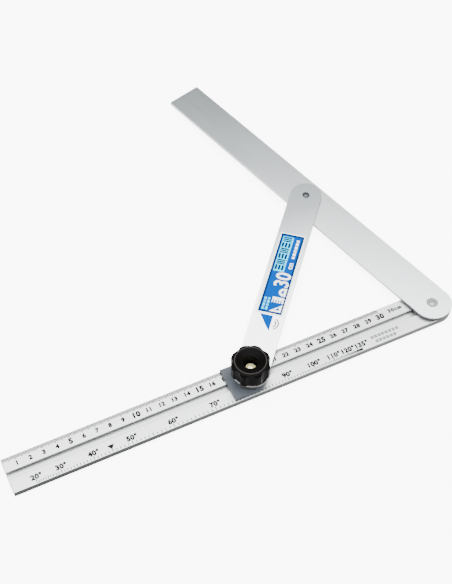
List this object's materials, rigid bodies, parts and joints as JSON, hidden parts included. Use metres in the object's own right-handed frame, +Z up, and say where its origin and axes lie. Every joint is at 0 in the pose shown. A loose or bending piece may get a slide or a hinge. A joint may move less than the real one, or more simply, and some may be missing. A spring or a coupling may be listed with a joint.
{
  "type": "adjustable angle gauge",
  "caption": "Slotted rule with a pivoted blade and a sliding strut; the slider sets the blade's angle, a lobed knob clamps it, and scales read length and angle.",
  "frame": {"origin": "centre of the rule's flat underside", "axes": "+X along the rule towards the blade's pivot, +Y towards the side the blade opens on, +Z up from the underside"},
  "size_m": [0.356, 0.3063, 0.028],
  "materials": {
    "anodised_aluminium": "satin anodised, drawn along the length",
    "satin_blade": "satin anodised",
    "steel": "turned",
    "grey_zinc": "blue-grey, semi-gloss",
    "blue_film": "printed film",
    "black_plastic": "moulded, satin",
    "brass": "turned"
  },
  "bodies": {
    "rule": {"rule": "anodised_aluminium", "pivot_block": "steel", "main_rivet": "steel"},
    "pivot_washer": {"pivot_washer": "steel"},
    "blade": {"blade": "satin_blade", "blade_rivet_tail": "steel"},
    "slot_gib": {"slot_gib": "steel"},
    "slider": {"slider_plate": "grey_zinc", "clamp_bolt": "brass"},
    "strut_washer": {"strut_washer": "steel"},
    "strut": {"strut": "satin_blade", "strut_rivet": "steel", "strut_label": "blue_film"},
    "knob_washer": {"knob_washer": "steel"},
    "knob": {"knob_body": "black_plastic", "knob_insert": "brass"}
  },
  "joints": [
    {"name": "slider_close", "type": "slide", "parent": "rule", "child": "slot_gib", "axis": [1, 0, 0], "range_m": [-0.15192, 0]},
    {"name": "slider_open", "type": "slide", "parent": "slot_gib", "child": "slider", "axis": [1, 0, 0], "range_m": [0, 0.10454]},
    {"name": "blade_close", "type": "hinge", "parent": "rule", "child": "pivot_washer", "pos_m": [0.1632, 0, 0], "axis": [0, 0, -1], "range_deg": [-54.81, 0]},
    {"name": "blade_open", "type": "hinge", "parent": "pivot_washer", "child": "blade", "pos_m": [0.1632, 0, 0], "axis": [0, 0, -1], "range_deg": [0, 60.21]},
    {"name": "strut_close", "type": "hinge", "parent": "slider", "child": "strut_washer", "pos_m": [0.00957, 0, 0], "axis": [0, 0, 1], "range_deg": [-33.85, 0]},
    {"name": "strut_open", "type": "hinge", "parent": "strut_washer", "child": "strut", "pos_m": [0.00957, 0, 0], "axis": [0, 0, 1], "range_deg": [-15.63, 0]},
    {"name": "knob_lift", "type": "slide", "parent": "slider", "child": "knob_washer", "axis": [0, 0, 1], "range_m": [0, 0.0016]},
    {"name": "knob_turn", "type": "hinge", "parent": "knob_washer", "child": "knob", "pos_m": [0.00957, 0, 0], "axis": [0, 0, 1], "range_deg": [0, 720.1]}
  ],
  "couplings": [
    {"joint": "blade_close", "follows": "slider_close", "rad_per_m": 6.2958},
    {"joint": "strut_close", "follows": "slider_close", "rad_per_m": 3.8881},
    {"joint": "blade_open", "follows": "slider_open", "rad_per_m": 10.05},
    {"joint": "strut_open", "follows": "slider_open", "rad_per_m": -2.6089},
    {"joint": "knob_turn", "follows": "knob_lift", "rad_per_m": 7854}
  ]
}
